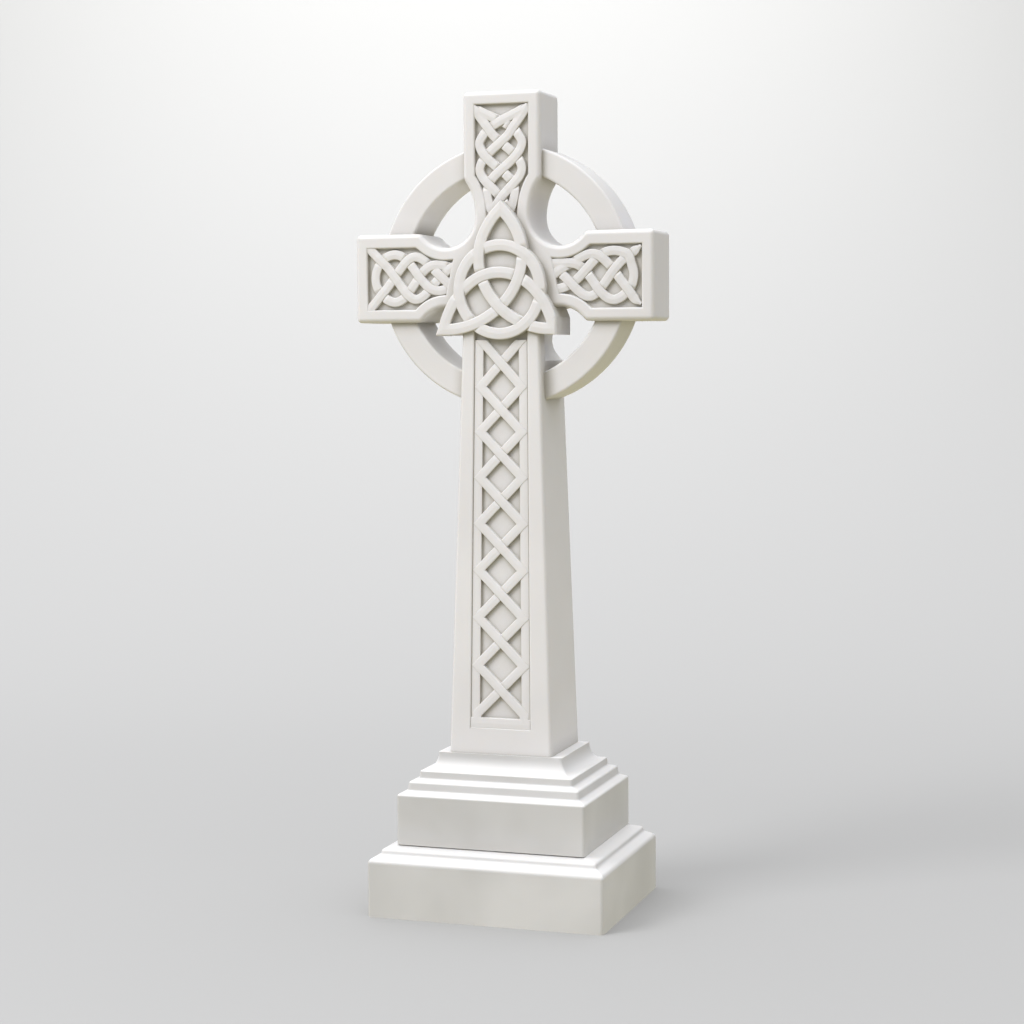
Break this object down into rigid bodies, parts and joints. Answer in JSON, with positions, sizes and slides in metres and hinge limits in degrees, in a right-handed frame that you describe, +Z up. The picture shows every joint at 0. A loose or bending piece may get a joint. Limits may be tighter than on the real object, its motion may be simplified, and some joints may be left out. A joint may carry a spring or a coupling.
{
  "type": "celtic cross gravestone",
  "caption": "White marble ringed cross with carved interlace panels and a raised knot boss, standing on two stepped moulded bases.",
  "frame": {"origin": "middle of the lower base's underside", "axes": "+Z up, the carved front faces -Y, +X to the right as seen from the front"},
  "size_m": [0.464, 0.305, 1.22],
  "materials": {
    "white_marble": "honed"
  },
  "bodies": {
    "root": {"celtic_cross": "white_marble", "upper_base": "white_marble", "lower_base": "white_marble"}
  },
  "joints": []
}
